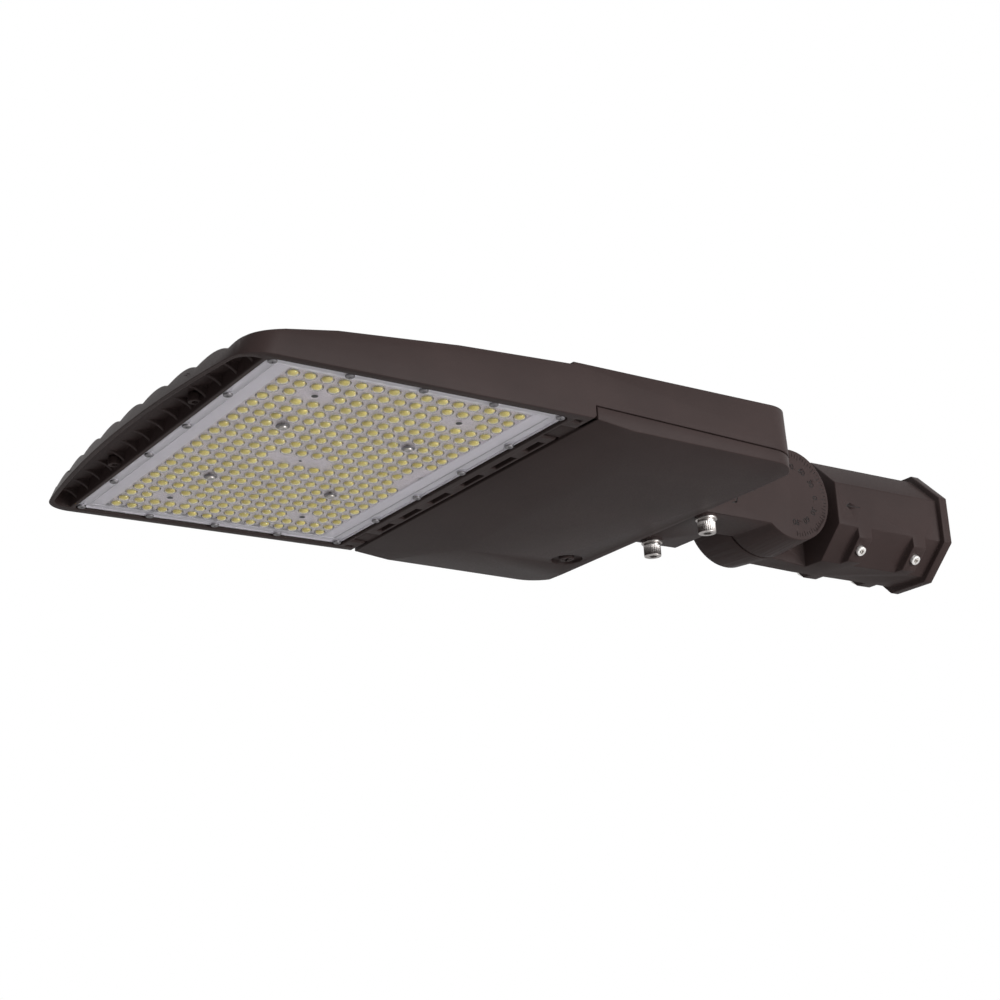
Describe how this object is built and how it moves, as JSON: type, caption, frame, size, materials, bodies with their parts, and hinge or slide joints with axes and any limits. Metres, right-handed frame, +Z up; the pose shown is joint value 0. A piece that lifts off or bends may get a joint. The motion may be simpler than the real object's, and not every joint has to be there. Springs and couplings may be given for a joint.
{
  "type": "led street light",
  "caption": "Flat LED area street light: finned head with a lens panel, hinged driver door, and a tilting knuckle on an octagonal slip fitter for a pole tenon.",
  "frame": {"origin": "centre of the tenon bore's mouth, at the rear end of the slip fitter", "axes": "+X out of the bore's mouth, away from the lamp head; +Z up; the light shines towards -Z"},
  "size_m": [0.69, 0.309, 0.09],
  "materials": {
    "cast_paint": "matte",
    "steel": "satin",
    "board_white": "satin",
    "clear_lens": "gloss",
    "rubber": "matte",
    "driver_case": "satin",
    "surge_case": "matte",
    "terminal_case": "satin"
  },
  "bodies": {
    "slip_fitter": {"slip_fitter_sleeve": "cast_paint", "tenon_set_screws": "steel"},
    "head": {"knuckle_arm": "cast_paint", "arm_flat_washers": "steel", "arm_lock_washers": "steel", "arm_bolts": "steel", "pivot_washer": "steel", "pivot_lock_washer": "steel", "pivot_bolt": "steel", "main_housing": "cast_paint", "led_board": "board_white", "lens_plate": "clear_lens", "lens_gasket": "rubber", "lens_screws": "steel", "field_screws": "steel", "field_washers": "steel", "hinge_pins": "steel", "bay_standoffs": "steel", "led_driver": "driver_case", "driver_screws": "steel", "surge_protector": "surge_case", "terminal_block": "terminal_case", "wire_grommet": "rubber"},
    "door": {"driver_door": "cast_paint", "door_gasket": "rubber", "screw_clip": "steel"},
    "door_screw": {"captive_screw": "steel"}
  },
  "joints": [
    {"name": "tilt", "type": "hinge", "parent": "slip_fitter", "child": "head", "pos_m": [-0.165, 0, 0], "axis": [0, 1, 0], "range_deg": [-90, 90]},
    {"name": "door_hinge", "type": "hinge", "parent": "head", "child": "door", "pos_m": [-0.445, 0, -0.0196], "axis": [0, 1, 0], "range_deg": [0, 85]},
    {"name": "door_screw_turn", "type": "hinge", "parent": "door", "child": "door_screw", "pos_m": [-0.287, 0.086, -0.0322], "axis": [0, 0, 1], "range_deg": [0, 90]}
  ]
}
